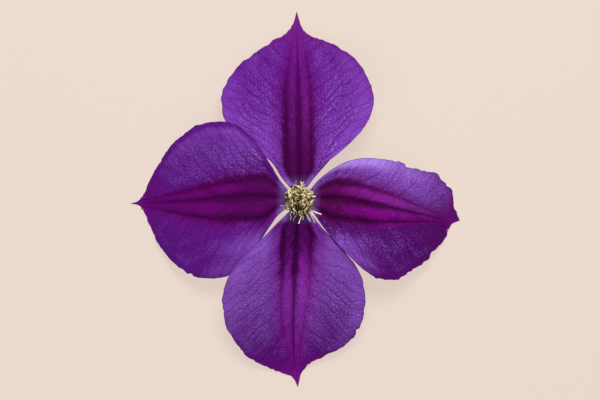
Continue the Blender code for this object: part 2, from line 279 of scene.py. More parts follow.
def smoothPath(points, samples=600):  # a line that bends smoothly through the given points
    knots = np.array(points, float)
    places = runLength(knots, 0.5)
    slopes = np.gradient(knots, places, axis=0)
    wanted = np.linspace(0, places[-1], samples)
    span = np.clip(np.searchsorted(places, wanted, side="right") - 1, 0, len(knots) - 2)
    width = (places[span + 1] - places[span])[:, None]
    t = (wanted - places[span])[:, None] / width
    line = (1 + 2 * t) * (1 - t) ** 2 * knots[span] + t * (1 - t) ** 2 * width * slopes[span]
    line += t**2 * (3 - 2 * t) * knots[span + 1] + t**2 * (t - 1) * width * slopes[span + 1]
    return evenLine(line, samples)


def smoothStep(low, high, value):
    t = np.clip((value - low) / (high - low), 0, 1)
    return t * t * (3 - 2 * t)


def wobble(places, spacing, seed):  # smooth irregular waves between -1 and 1, one knot in each spacing
    knots = np.random.default_rng(seed).uniform(-1, 1, int(np.max(places) / spacing) + 3)
    place = places / spacing
    first = place.astype(int)
    t = smoothStep(0, 1, place - first)
    return knots[first] * (1 - t) + knots[first + 1] * t


# What the four blades share.
blade = {
    "clawHeight": 18.5,
    "archPower": 2.3,
    "archWidthShare": 0.4,
    "flatTip": 5.2,
    "tipSoftness": 1.0,
    "twist": 0.064,
    "ribDepth": 0.5,  # half the height from a groove to the bar beside it
    "grooveSharpness": 0.62,  # below 1 the grooves turn into narrow creases
    "bandShare": 0.8,
    "bandTipShare": 0.15,
    "lobeRise": 0.9,
    "waveHeight": 0.35,
    "wavesOnMargin": 7.5,
    "flutter": 0.3,  # height of the irregular waves near the margin
    "flutterSpacing": 5.5,
    "marginLength": 85.0,
    "reliefGrows": (-0.04, 0.14),  # from the claw
    "reliefFades": (0.6, 0.97),  # towards the tip
    "toothSpacing": 2.6,
    "fineToothSpacing": 1.1,
    "fineToothShare": 0.6,
    "teethGrow": (0.3, 0.55),
    "teethFade": (0.93, 0.99),
    "thickness": 0.38,
    "cadThickness": 0.75,
    "thinsWithin": 4.0,  # height over the floor in which the blade comes down to its own thickness
    "rows": 216,
    "columns": 136,
    "rowCrowding": 1.15,
    "weldDistance": 0.03,
    "veinLean": (0.6, 0.8, 8.0),  # how steeply veins run to the tip, how much more so near the midrib, reach
    "patternStep": 211.0,  # so that no two blades have the same pattern
    "netLength": 1.65,
    "netWidth": 1.0,
    "netDepth": 0.06,
    "lateralSpacing": 6.5,
    "swell": 0.75,
    "swellSize": 0.11,
    "seed": 3,
}

# Looks that the four faces share, and those of the four backs: bump depth, pattern and shader.
# A row of colours follows this order, and is in screen values.
colourOrder = ("Lobe Light", "Lobe Deep", "Bar", "Bar Light", "Groove", "Tip")
faceLooks = {
    "bump": 0.17,
    "pattern": {"Net Strength": 0.85, "Claw": tint(132, 102, 190), "Rolled Highlight": tint(160, 130, 218)},
    "shader": {
        "Sheen Weight": 0.04, "Sheen Roughness": 0.3, "Sheen Tint": tint(190, 130, 255),
        "Specular IOR Level": 0.03,
    },
}
backLooks = {
    "bump": 0.12,
    "pattern": {"Net Strength": 0.25, "Claw": tint(150, 140, 170), "Rolled Highlight": tint(156, 124, 184)},
    "colours": [
        (156, 124, 184), (122, 84, 150), (118, 66, 124), (142, 104, 146), (160, 136, 150), (118, 76, 126),
    ],
    "shader": {"Sheen Weight": 0.4, "Sheen Roughness": 0.5, "Specular IOR Level": 0.25},
}

# Outlines as in the frame: distance from the flower's axis and distance to the left, tip pointing away.
# Every pair from band to beside is for the left side and the right side; nicks have place, depth and width,
# and the tones and shares are given near the claw, halfway and near the tip. Tone is painted light and shade
# on the lobes, rim the painted shade along the margin, and beside darkens the lobe next to the band; curl
# also sets the painted highlight where the margin rolls back.
tepals = {}
tepals["tepal_top"] = {
    "turn": 90,
    "left": [
        (3.5, 2.4), (7.5, 5.9), (13.0, 9.5), (19.5, 18.2), (27.0, 25.3), (33.5, 26.9), (40.5, 25.4),
        (48.5, 18.9), (54.7, 10.0), (58.0, 4.9), (61.3, 2.2), (65.9, 0.8),
    ],
    "midrib": [(3.5, 0.0), (30.0, 0.2), (65.9, 0.8)],
    "right": [
        (3.5, -2.2), (7.5, -5.2), (13.0, -10.2), (20.0, -18.0), (27.0, -23.7), (33.5, -25.8),
        (41.0, -24.5), (48.5, -20.0), (54.2, -12.0), (57.2, -4.6), (60.6, -0.9), (65.9, 0.8),
    ],
    "band": (7.0, 7.0),
    "narrowsFrom": (0.5, 0.5),
    "curl": 0.0,
    "waveTurn": 0.4,
    "ragged": 0.28,
    "nicks": ([], []),
    "tone": ((0.85, 0.3, 0.1), (0.75, 0.4, 0.2)),
    "colours": [(126, 70, 178), (82, 10, 114), (62, 0, 64), (98, 8, 112), (56, 0, 58), (106, 28, 122)],
    "barTone": ((0.0, 0.35, 0.7), (0.0, 0.6, 0.8)),
    "barShare": ((1.0, 0.9, 0.25), (1.0, 0.75, 0.2)),
    "sideGroove": ((1.0, 0.7, 0.2), (0.7, 0.7, 0.5)),
    "net": ((0.9, 0.75, 0.35), (1.0, 0.75, 0.5)),
    "rim": ((0.0, 0.0, 0.4), (0.0, 0.3, 0.5)),
    "beside": ((0.35, 0.25, 0.2), (0.25, 0.25, 0.2)),
}
tepals["tepal_left"] = {
    "turn": 180,
    "left": [
        (3.5, 2.3), (7.4, 5.5), (10.4, 9.8), (13.8, 15.0), (18.3, 21.4), (24.7, 26.3), (31.5, 27.3),
        (36.5, 26.6), (40.5, 24.4), (44.1, 21.5), (49.7, 14.3), (53.3, 6.0), (55.8, 2.0), (58.9, 1.2),
    ],
    "midrib": [(3.5, -0.6), (15.0, -1.2), (43.6, 0.6), (58.9, 1.2)],
    "right": [
        (3.5, -3.2), (8.4, -9.3), (12.4, -16.2), (17.2, -22.5), (22.8, -26.5), (29.0, -27.2),
        (35.8, -25.7), (41.4, -21.9), (46.9, -15.6), (51.3, -8.2), (54.2, -2.2), (56.1, 0.3), (58.9, 1.2),
    ],
    "band": (11.2, 10.0),
    "narrowsFrom": (0.36, 0.2),
    "curl": 0.0,
    "waveTurn": 1.7,
    "ragged": 0.22,
    "nicks": ([(37.6, -0.7, 1.0)], [(9.3, 0.4, 3.0)]),
    "tone": ((0.9, 0.0, -0.05), (0.5, 0.27, 0.05)),
    "colours": [(126, 76, 176), (80, 16, 112), (68, 0, 72), (106, 0, 110), (54, 0, 56), (94, 6, 106)],
    "barTone": ((0.0, 0.35, 0.35), (0.0, 0.35, 0.25)),
    "barShare": ((1.0, 0.95, 0.6), (1.0, 1.0, 0.7)),
    "sideGroove": ((1.0, 0.9, 0.7), (1.0, 0.8, 0.7)),
    "net": ((0.4, 0.4, 0.25), (1.0, 0.7, 0.25)),
    "rim": ((0.2, 0.4, 0.6), (1.2, 1.1, 0.8)),
    "beside": ((0.8, 0.2, 0.2), (0.25, 0.2, 0.2)),
}
tepals["tepal_bottom"] = {
    "turn": 270,
    "left": [
        (3.5, 2.9), (6.2, 5.3), (10.5, 8.5), (15.6, 13.4), (22.3, 19.4), (28.0, 22.1), (35.0, 22.9),
        (41.7, 22.2), (47.3, 19.5), (52.6, 12.6), (56.6, 4.6), (60.6, 0.8), (65.3, -0.35),
    ],
    "midrib": [(3.5, -0.3), (25.0, -1.4), (50.4, -1.9), (65.3, -0.35)],
    "right": [
        (3.5, -2.9), (9.0, -8.6), (13.5, -12.9), (18.5, -18.2), (25.0, -23.6), (31.0, -26.1),
        (38.5, -26.5), (44.5, -25.0), (50.3, -21.8), (55.6, -16.3), (59.3, -8.4), (61.8, -2.5),
        (65.3, -0.35),
    ],
    "band": (8.2, 7.0),
    "narrowsFrom": (0.4, 0.5),
    "curl": 0.0,
    "waveTurn": 2.9,
    "ragged": 0.32,
    "nicks": ([(13.2, 0.6, 6.0), (45.6, -0.6, 1.0), (48.6, -0.4, 0.8)], [(52.6, -0.4, 0.8)]),
    "tone": ((0.7, 0.5, 0.0), (0.6, 0.5, -0.1)),
    "colours": [(126, 80, 174), (80, 12, 106), (56, 0, 62), (124, 14, 140), (44, 0, 48), (106, 12, 122)],
    "barTone": ((0.2, 0.8, 0.6), (0.12, 0.8, 0.6)),
    "barShare": ((1.0, 0.45, 0.5), (1.0, 0.52, 0.5)),
    "sideGroove": ((0.5, 0.15, 0.1), (1.0, 0.5, 0.1)),
    "net": ((0.3, 0.75, 0.6), (0.35, 0.6, 0.6)),
    "rim": ((0.4, 0.1, 0.5), (0.4, 0.1, 0.6)),
    "beside": ((0.4, -0.15, -0.1), (0.45, 0.0, 0.0)),
}
tepals["tepal_right"] = {
    "turn": 0,
    "left": [
        (3.5, 3.0), (6.2, 6.4), (11.5, 10.8), (17.0, 13.6), (23.0, 14.6), (31.0, 13.9), (35.5, 13.0),
        (38.0, 11.2), (43.0, 10.5), (47.8, 8.9), (51.0, 6.1), (53.0, 3.2), (54.0, -1.5), (56.1, -7.2),
    ],
    "midrib": [(3.5, 0.8), (14.0, 0.6), (26.8, -1.7), (49.4, -6.3), (56.1, -7.2)],
    "right": [
        (3.5, -2.4), (6.2, -6.3), (8.7, -9.9), (11.5, -13.1), (17.0, -19.2), (22.8, -24.4), (28.5, -27.5),
        (34.5, -27.5), (38.7, -25.2), (42.3, -22.6), (47.5, -17.6), (51.5, -11.9), (53.6, -8.4),
        (56.1, -7.2),
    ],
    "band": (8.8, 10.3),
    "narrowsFrom": (0.3, 0.25),
    "curl": 3.0,
    "waveTurn": 4.4,
    "ragged": 0.42,
    "nicks": ([(37.4, -0.5, 0.7), (53.0, 0.5, 0.7)], [(34.6, 0.4, 0.9)]),
    "tone": ((0.85, 0.8, 0.5), (0.8, 0.1, -0.1)),
    "colours": [(134, 80, 186), (74, 12, 96), (66, 0, 62), (120, 2, 122), (48, 0, 45), (80, 6, 88)],
    "barTone": ((0.35, 0.9, 0.6), (0.1, 0.85, 0.5)),
    "barShare": ((1.0, 0.65, 0.2), (1.0, 0.85, 0.35)),
    "sideGroove": ((0.9, 0.8, 0.6), (1.0, 0.9, 0.8)),
    "net": ((0.7, 0.6, 0.5), (0.7, 0.7, 0.5)),
    "rim": ((0.0, 0.2, 1.0), (0.3, 0.7, 1.0)),
    "beside": ((0.3, 0.25, 0.1), (0.9, 0.1, 0.1)),
}


def turned(tepal, along, aside):  # from the tepal's own directions to the frame's
    turn = math.radians(tepal["turn"])
    return along * math.cos(turn) - aside * math.sin(turn), along * math.sin(turn) + aside * math.cos(turn)


def planShift():  # how far the flower's axis stands from the middle of its plan
    places = np.array([turned(tepal, along, aside) for tepal in tepals.values()
                       for along, aside in tepal["left"] + tepal["right"]])
    return -(places.min(axis=0) + places.max(axis=0)) / 2


def raggedMargin(path, tepal, side, seed):  # an outline with fine irregular teeth and its own nicks
    length = runLength(path)
    share = length / length[-1]
    ahead = headings(path)
    outwards = np.column_stack([-ahead[:, 1], ahead[:, 0]]) * side
    teeth = wobble(length, blade["toothSpacing"], seed)
    fineTeeth = wobble(length, blade["fineToothSpacing"], seed + 50)
    push = tepal["ragged"] * (teeth + blade["fineToothShare"] * fineTeeth)
    push *= smoothStep(*blade["teethGrow"], share) * (1 - smoothStep(*blade["teethFade"], share))
    for along, depth, width in tepal["nicks"][0 if side > 0 else 1]:
        push += depth * np.clip(1 - np.abs(path[:, 0] - along) / width, 0, 1)
    return outwards * push[:, None]


def bladeLines(tepal, number, rowShare, side):  # for each row the midrib, the margin and the margin's teeth
    middle = alongPath(smoothPath(tepal["midrib"]), rowShare)[:, None, :]
    sides = []
    for line, sign in (("left", 1), ("right", -1)):
        path = smoothPath(tepal[line])
        push = raggedMargin(path, tepal, sign, blade["seed"] + 10 * number + sign)
        sides.append([alongPath(values, rowShare)[:, None, :] for values in (path, push)])
    margin, teeth = (np.where((side > 0)[:, :, None], *pair) for pair in zip(*sides))
    return middle, margin, teeth


def bandWidth(tepal, row, side, halfWidth):  # the barred band, which narrows towards the tip
    widths = [width * (1 - (1 - blade["bandTipShare"]) * smoothStep(start, 1, row))
              for width, start in zip(tepal["band"], tepal["narrowsFrom"])]
    return np.minimum(np.where(side > 0, *widths), blade["bandShare"] * halfWidth)


def bladeRelief(tepal, number, row, side, inBand, lobe):  # grooves, bars, lobes and waves on the plain arch
    bar = np.abs(np.sin(np.pi * np.clip(inBand, 0, 2 / 3) * 1.5)) ** blade["grooveSharpness"]
    outerSlope = -0.5 * (1 + np.cos(np.pi * np.clip(3 * inBand - 2, 0, 1)))
    ribs = np.where(inBand <= 2 / 3, 2 * bar - 1, outerSlope)  # the side groove is at two thirds
    relief = blade["ribDepth"] * ribs + blade["lobeRise"] * np.sin(np.pi * lobe)
    phase = 2 * np.pi * blade["wavesOnMargin"] * row + tepal["waveTurn"] + side
    relief += blade["waveHeight"] * lobe**2 * np.sin(phase)
    for sign in (1, -1):
        seed = blade["seed"] + 7 * number + sign + 20
        waves = wobble(row * blade["marginLength"], blade["flutterSpacing"], seed)
        relief += np.where(side * sign > 0, blade["flutter"] * lobe**3 * waves, 0)
    relief -= np.where(side > 0, tepal["curl"] * lobe**2, 0)
    share = smoothStep(*blade["reliefGrows"], row) * (1 - smoothStep(*blade["reliefFades"], row))
    return relief * share


def bladeHeight(tepal, along, aside, relief):  # an arch that lies flat where its tip meets the floor
    tipReach = np.linalg.norm(tepal["midrib"][-1]) - blade["flatTip"]
    bend = (np.sqrt(along**2 + blade["archWidthShare"] * aside**2) / tipReach) ** blade["archPower"]
    lift = (blade["clawHeight"] - blade["cadThickness"]) * (1 - bend) - blade["twist"] * aside + relief
    soft = blade["tipSoftness"]
    floored = np.where(np.abs(lift) >= soft, np.maximum(lift, 0), (lift + soft) ** 2 / (4 * soft))
    spare = (blade["cadThickness"] - blade["thickness"]) * smoothStep(0, blade["thinsWithin"], floored)
    return floored + blade["thickness"] + spare


def veinFlow(number, side, along, distance):  # how far a vein has run, and where it left the midrib
    atMargin, nearMidrib, reach = blade["veinLean"]
    steps = np.linspace(0, 40, 400)  # out to past the widest margin
    lean = atMargin + nearMidrib * np.exp(-steps / reach)
    gone, run = (np.concatenate([[0], np.cumsum(rate[:-1] * np.diff(steps))])
                 for rate in (lean, np.sqrt(1 + lean**2)))
    ran = np.sign(side) * np.interp(distance, steps, run)
    left = along - np.interp(distance, steps, gone) + blade["patternStep"] * number
    return np.stack([ran, left, np.full_like(along, number)], axis=2)


def storeTones(mesh, tepal, row, side, lobe):  # the tepal's painted light and shade, the painted highlight on its rolled margin and its other shares, from claw to tip on each side
    leftShare = smoothStep(-0.2, 0.2, side + 0 * row)

    def sided(part):
        left, right = (np.interp(row, (0.2, 0.5, 0.85), values) for values in tepal[part])
        return right + (left - right) * leftShare

    # painted highlight where the margin rolls back into the light, strongest near the claw and fading towards
    # the tip
    rolled = np.where(side > 0, tepal["curl"] / 3, 0) * smoothStep(0.35, 0.85, lobe)
    palest = 1 - 0.75 * smoothStep(0.38, 0.55, row)
    rolled *= smoothStep(0.06, 0.18, row) * palest * (1 - smoothStep(0.6, 0.75, row))
    storeVectors(mesh, "tone", np.stack([sided("tone"), rolled, lobe], axis=2))
    for name, parts in (("bars", ("barTone", "barShare", "sideGroove")), ("show", ("net", "rim", "beside"))):
        storeVectors(mesh, name, np.stack([sided(part) for part in parts], axis=2))


def bladeSheet(name, tepal, number, shift):  # the blade's upper face, from claw to tip and right to left
    rowShare = 1 - (1 - np.linspace(0, 1, blade["rows"] + 1)) ** blade["rowCrowding"]
    side = np.linspace(-1, 1, blade["columns"] + 1)[None, :]
    out = np.abs(side)
    row = rowShare[:, None] + 0 * out
    middle, margin, teeth = bladeLines(tepal, number, rowShare, side)
    halfWidth = np.linalg.norm(margin - middle, axis=2)
    distance = halfWidth * out
    band = bandWidth(tepal, row, side, halfWidth)
    inBand = distance / np.maximum(band, 1e-6)
    lobe = np.clip((distance - band) / np.maximum(halfWidth - band, 1e-6), 0, 1)

    place = middle + (margin - middle) * out[:, :, None] + teeth * out[:, :, None] ** 6
    along, aside = place[:, :, 0], place[:, :, 1]
    relief = bladeRelief(tepal, number, row, side, inBand, lobe)
    x, y = turned(tepal, along, aside)
    height = bladeHeight(tepal, along, aside, relief)
    points = np.stack([shift[0] + x, shift[1] + y, height], axis=2).reshape(-1, 3)
    mesh = meshFrom(name, points, gridFaces(blade["rows"] + 1, blade["columns"] + 1))

    storeVectors(mesh, "flow", veinFlow(number, side, along, distance))
    storeVectors(mesh, "zones", np.stack([inBand, row, halfWidth * (1 - out)], axis=2))
    storeTones(mesh, tepal, row, side, lobe)
    return mesh


def netPlace(flow, length, width):  # the blade's own directions, warped and measured in cells
    warp = vectorMath("MULTIPLY", driftOn(flow, 0.24, 4, 0.6), (3.5, 3, 0))
    return vectorMath("DIVIDE", vectorMath("ADD", flow, warp), join(length, width, 1))


def netCells(place, output, feature="F1"):
    values = {"Vector": place, "Scale": 1}
    return addNode("ShaderNodeTexVoronoi", values, feature=feature, voronoi_dimensions="2D").outputs[output]


def netEdge(place):  # distance from the nearest vein of the net, in cells
    return netCells(place, "Distance", "DISTANCE_TO_EDGE")


def lateralVeins(flow, spacing):  # 1 on the side veins that leave the ribs and run out to the margin
    out, along = split(flow)[:2]
    along = maths("MULTIPLY_ADD", stretchedNoise(flow, (0.1, 0.1, 1)), 9, along)
    reach = maths("ABSOLUTE", out)
    lines = []
    for shiftBy, start in ((0, 0), (0.5, 11)):  # every other vein starts further out
        turns = total(maths("DIVIDE", along, spacing), shiftBy)
        side = maths("ABSOLUTE", less(maths("FRACT", turns), 0.5))
        fade = ramp(reach, start, start + 6)
        lines.append(product(fading(side, 0.012, 0.06), fade))
    return maths("MAXIMUM", *lines)


def veinReliefTree():  # sinks the veins into the blade and swells the tissue between them
    tree, given, end = newGeometryTree("veinRelief", Float=[
        "Net Length", "Net Width", "Net Depth", "Lateral Spacing", "Swell", "Swell Size"])
    flow = storedOn(tree, "flow")
    inBand, row = split(storedOn(tree, "zones"))[:2]
    edge = netEdge(netPlace(flow, given["Net Length"], given["Net Width"]))
    lateral = lateralVeins(flow, given["Lateral Spacing"])
    net = product(less(ramp(edge, 0, 0.3, -1, 0), lateral), given["Net Depth"])
    place = scaled(geoNode("InputPosition", tree=tree), 1 / mm)
    broad = less(noiseOn(place, given["Swell Size"], 1), 0.5)
    broad = product(broad, given["Swell"], ramp(inBand, 0.9, 1.6))
    fromClaw, atTip = ramp(row, 0.05, 0.16), fading(row, 0.86, 0.96)
    offFloor = ramp(split(place)[2], 0.5, 1.8)
    lift = product(total(net, broad), fromClaw, atTip, offFloor, mm)
    offset = scaled(geoNode("InputNormal", tree=tree), lift)
    moved = geoNode("SetPosition", {"Geometry": given["Geometry"], "Offset": offset})
    return endTree(end, moved, given["Material"])


def petalPatternGroup():  # colour, bump height and roughness of a blade, from what its mesh stores
    tree, given, end = newTree("ShaderNodeTree", "petalPattern", {
        "Vector": ["Flow", "Zones", "Tone", "Bars", "Show"],
        "Color": ["Lobe Light", "Lobe Deep", "Bar", "Bar Light", "Groove", "Tip", "Claw", "Rolled Highlight"],
        "Float": ["Net Length", "Net Width", "Lateral Spacing", "Net Strength"],
    }, {"Color": ["Color"], "Float": ["Height", "Roughness"]})
    flow = given["Flow"]
    inBand, row, rim = split(given["Zones"])
    # shade is the painted light and shade of the lobes; rolled marks where the rolled margin gets its painted
    # highlight
    shade, rolled, lobe = split(given["Tone"])
    barTone, barShare, sideGroove = split(given["Bars"])
    # the second share sets how strong the painted shade along the margin is
    netShare, rimShadeShare, beside = split(given["Show"])

    place = netPlace(flow, given["Net Length"], given["Net Width"])
    edge = netEdge(place)
    cell = split(netCells(place, "Color"))[0]
    lateral = lateralVeins(flow, given["Lateral Spacing"])
    streak = stretchedNoise(flow, (0.22, 0.75, 1), 3, 0.55)
    broad = stretchedNoise(flow, (0.09, 0.13, 1))
    fine = stretchedNoise(flow, (1.8, 2.2, 1), 2)
    show = product(netShare, ramp(lobe, 0.5, 1, 1, 0.35), ramp(broad, 0.3, 0.65, 0.6, 1.1))

    # lobes: light and deep violet, cell by cell and in soft streaks along the veins, with the tepal's painted
    # light and shade, painted highlights on the swollen cells, a little lighter towards the margin, painted
    # shade along the rim, and darker next to the band
    tone = total(
        shade, centred(streak, 0.3), centred(broad, 0.7), product(centred(cell, 0.28), show),
        product(ramp(edge, 0.05, 0.4, -0.12, 0.15), show), ramp(lobe, 0.5, 0.95, 0, 0.15),
        product(fading(rim, 0.3, 3.5, -0.5), rimShadeShare), product(fading(inBand, 0.85, 1.6, -1), beside),
        clamp=True)
    colour = mixed(tone, given["Lobe Deep"], given["Lobe Light"])
    colour = mixed(fading(inBand, 0.8, 1.6, 0.35), colour, given["Tip"])
    colour = mixed(ramp(row, 0.7, 0.97), colour, given["Tip"])

    # the plum bars and their grooves, feathered at the outer edge; the grooves' dark is partly the vein line
    # and partly painted shade in the creases
    loose = product(total(centred(broad, 0.3), centred(cell, 0.16)), ramp(row, 0.15, 0.6, 0.25))
    feather = total(inBand, loose)
    inside = product(fading(feather, 0.66, ramp(row, 0.2, 0.6, 0.98, 1.05)), barShare)
    # bar lightness, with painted highlights on the swollen cells
    lightness = total(barTone, centred(cell, 0.25), centred(broad, 0.8), fading(row, 0.1, 0.25, -0.25),
                      ramp(edge, 0, 0.3, -0.15, 0.15), clamp=True)
    barColour = mixed(lightness, given["Bar"], given["Bar Light"])
    fromSideGroove = maths("ABSOLUTE", less(inBand, 0.667))  # it runs two thirds of the band out
    nearest = maths("MINIMUM", inBand, fromSideGroove)
    ragged = total(nearest, total(centred(cell, 0.04), centred(broad, 0.16)))
    lasting = maths("MAXIMUM", fading(inBand, 0.2, 0.4), sideGroove)
    wide = product(fading(ragged, 0.06, 0.26, 0.9), ramp(barShare, 0.2, 0.8), lasting,
                   ramp(row, 0.35, 0.8, 1, 0.3), fading(feather, 0.68, 0.92))
    thin = product(fading(nearest, 0.015, 0.08, 0.85), ramp(row, 0.7, 0.98, 1, 0.3), lasting)
    colour = mixed(inside, colour, barColour)
    colour = mixed(maths("MAXIMUM", wide, thin), colour, given["Groove"])

    # veins, the pale claw, the painted highlight on the rolled margin and the thin rim of painted shade
    lateral = product(lateral, ramp(inBand, 0.55, 0.8, 0.3))
    veins = maths("MAXIMUM", fading(edge, 0.02, 0.14), lateral)
    veins = product(veins, show, given["Net Strength"], ramp(inside, 0.2, 1, 1, 0.4))
    dark = mixed(1, colour, (0.36, 0.08, 0.36, 1), "MULTIPLY")
    colour = mixed(maths("MINIMUM", veins, 0.85), colour, dark)
    claw = product(fading(row, 0.02, 0.09, 0.75), ramp(inBand, 0.5, 1, 0.3))
    # painted highlight on the rolled margin, in streaks
    rolledHighlight = product(rolled, ramp(streak, 0.3, 0.7, 0.55, 0.9))
    # painted shade in a thin rim along the margin, where it turns away from the light
    rimShade = product(fading(rim, 0.1, 0.5, 0.8), ramp(rimShadeShare, 0, 1, 0.4), ramp(row, 0.08, 0.2))
    for share, laid in ((claw, "Claw"), (rolledHighlight, "Rolled Highlight"), (rimShade, "Lobe Deep")):
        colour = mixed(share, colour, given[laid])

    swell = ramp(edge, 0, 0.36)
    height = total(product(swell, ramp(show, 0, 1, 0.5, 1.1)), product(fine, 0.35))
    height = product(less(height, product(lateral, 0.8)), ramp(inBand, 0.4, 1, 0.4))
    rough = maths("MULTIPLY_ADD", swell, -0.08, maths("MULTIPLY_ADD", fine, 0.2, 0.5))
    feed(end, {"Color": colour, "Height": height, "Roughness": rough})
    return tree


def petalMaterial(name, pattern, looks, colours):
    material, tree, shader = newMaterial(name, looks["shader"])
    group = addNode("ShaderNodeGroup", tree=tree, node_tree=pattern)
    feed(group, {spoken(part): attributeOf(tree, part) for part in ("flow", "zones", "tone", "bars", "show")})
    feed(group, {spoken(part): blade[part] for part in ("netLength", "netWidth", "lateralSpacing")})
    feed(group, {label: tint(*colour) for label, colour in zip(colourOrder, colours)})
    feed(group, looks["pattern"])
    colour, height, roughness = group.outputs
    dressShader(shader, colour, roughness, height, looks["bump"])
    return material


def makeTepal(name, tepal, number, shift, relief, pattern):
    mesh = bladeSheet(name, tepal, number, shift)
    face = petalMaterial(name + "Face", pattern, faceLooks, tepal["colours"])
    mesh.materials.append(face)
    mesh.materials.append(petalMaterial(name + "Back", pattern, backLooks, backLooks["colours"]))
    piece = newPiece(name + "_blade", mesh)
    addTree(piece, relief, {**blade, "material": face})
    addWeld(piece, blade["weldDistance"])
    wall = piece.modifiers.new("wall", "SOLIDIFY")
    wall.thickness = blade["thickness"] * mm
    wall.offset = -1
    wall.material_offset = 1
    bakeModifiers(piece).shade_smooth()
    finishPiece(piece, "tepal", name)


shift = planShift()
relief = veinReliefTree()
pattern = petalPatternGroup()
for number, (name, tepal) in enumerate(tepals.items()):
    makeTepal(name, tepal, number, shift, relief, pattern)
print("tepals made")


# Ribbons rise from a root ring to their tips, bow, swirl and curl on the way.
stamens = {
    "count": 190,
    "tipReach": (0.9, 5.6),
    "tipShares": (0.6, 1.0),  # how far up to the dome the tips reach
    "scatter": 0.25,
    "peakHeight": 7.4,
    "tuftEdge": 7.8,
    "rootNear": 2.2,
    "rootFar": 4.0,
    "rootHeight": 19.6,
    "bulge": 1.0,
    "swirl": 1.6,
    "curlSize": 0.35,
    "curlTurns": 0.9,
    "wander": 1.0,
    "width": 0.46,
    "thickness": 0.13,
    "points": 14,
    "seed": 11,
    # hollows, lower and with painted shade: place from the axis, radius, share of the height taken away
    "hollows": [(-2.9, 0.3, 1.2, 0.6), (0.6, -2.3, 1.4, 0.6), (3.1, -1.6, 0.8, 0.4)],
    "shades": (0.0, 0.25, 0.75, 1.05),  # one drawn for each ribbon, 1 the palest
    "looseness": (0.2, 1.3),  # how much a ribbon curls and wanders
    "widthShares": (0.6, 1.15),
    "brightSide": 40,  # direction in degrees of the side whose ribbons are painted lighter, as lit from there
    # direction in degrees from +X, reach, height of the end above the ring, paleness, width share, looseness
    "strays": [
        (-33, 9.0, 1.7, 1.4, 1.15, 0.3), (-55, 9.8, 1.5, 1.4, 0.9, 0.3), (-90, 8.1, 1.4, 1.3, 1.0, 0.3),
        (-117, 7.6, 1.3, 0.9, 0.9, 1.6), (-166, 7.1, 1.6, 0.35, 0.45, 0.8), (99, 6.9, 2.6, 0.5, 0.6, 0.2),
        (84, 6.4, 3.2, 0.7, 0.6, 0.2), (74, 6.5, 3.0, 0.6, 0.6, 0.3), (110, 6.3, 2.8, 0.3, 0.7, 0.3),
        (141, 6.8, 1.4, 0.0, 0.8, 0.3), (41, 6.5, 1.5, 0.0, 0.8, 0.3), (-148, 6.8, 1.8, 0.3, 0.7, 0.8),
        (-47, 7.9, 2.4, 1.1, 0.8, 0.3), (-63, 8.2, 2.0, 0.8, 0.8, 0.3), (-76, 7.0, 1.8, 0.4, 0.7, 0.5),
        (-104, 7.2, 1.6, 0.5, 0.8, 0.6),
    ],
    # at the root (partly painted shade deep in the tuft), darkest and lightest along the ribbon, ends of the
    # palest
    "colours": (tint(22, 14, 2), tint(50, 35, 9), tint(230, 212, 158), tint(234, 200, 170)),
}
styles = {
    **stamens,
    "count": 46,
    "tipReach": (0.4, 2.6),
    "peakHeight": 6.6,
    "tuftEdge": 4.6,
    "rootNear": 0.3,
    "rootFar": 1.6,
    "rootHeight": 20.9,
    "bulge": 0.7,
    "swirl": 1.2,
    "curlSize": 0.5,
    "curlTurns": 1.1,
    "wander": 0.8,
    "width": 0.42,
    "thickness": 0.2,
    "points": 12,
    "seed": 5,
    "hollows": [],
    "strays": [],
    "colours": (tint(26, 18, 4), tint(58, 42, 13), tint(230, 214, 160), tint(226, 208, 160)),
}


def tipPoints(tuft, shift):  # ribbon ends spread by the golden turn over a low dome, then the strays
    draw = np.random.default_rng(tuft["seed"])
    near, far = tuft["tipReach"]
    bright = math.radians(tuft["brightSide"])
    points, kinds = [], []  # kinds: shade, looseness and width share
    for i in range(tuft["count"]):
        share = (i + 0.5) / tuft["count"]
        reach = math.sqrt(near**2 * (1 - share) + far**2 * share) + draw.normal(0, tuft["scatter"])
        dome = math.sqrt(max(1 - (reach / tuft["tuftEdge"]) ** 2, 0))
        height = tuft["peakHeight"] * dome * draw.uniform(*tuft["tipShares"])
        x, y = reach * math.cos(i * goldenTurn), reach * math.sin(i * goldenTurn)
        # painted light: ribbons lighter towards the lit side
        shade = draw.choice(tuft["shades"]) + 0.08 * (x * math.cos(bright) + y * math.sin(bright))
        for hollowX, hollowY, size, depth in tuft["hollows"]:
            inside = math.exp(-((x - hollowX) ** 2 + (y - hollowY) ** 2) / size**2)
            height *= 1 - depth * inside
            # painted shade in the hollows
            shade -= inside
        points.append((x, y, height))
        kinds.append((min(shade, 1.1), draw.uniform(*tuft["looseness"]), draw.uniform(*tuft["widthShares"])))
    for direction, reach, height, shade, widthShare, loose in tuft["strays"]:
        turn = math.radians(direction)
        points.append((reach * math.cos(turn), reach * math.sin(turn), height))
        kinds.append((shade, loose, widthShare))
    return np.array(points) + (*shift, tuft["rootHeight"]), kinds


def ribbonCurves(points, ribbon, kept):  # joins the points into curves that twist and thin out
    for name, value in kept.items():
        values = {"Geometry": points, "Name": name, "Value": value}
        points = geoNode("StoreNamedAttribute", values, data_type="FLOAT", domain="POINT")
    share, width, twist = (storedOn(points.id_data, name, "FLOAT") for name in ("share", "width", "twist"))
    values = {0: points, "Curve Group ID": ribbon, "Weight": kept["share"]}
    curves = geoNode("PointsToCurves", values)
    curves = geoNode("SetCurveNormal", {0: curves}, mode="Z_UP")
    curves = geoNode("SetCurveTilt", {0: curves, "Tilt": twist})
    taper = less(1, product(maths("POWER", share, 4), 0.6))
    return geoNode("SetCurveRadius", {0: curves, "Radius": product(taper, width)})


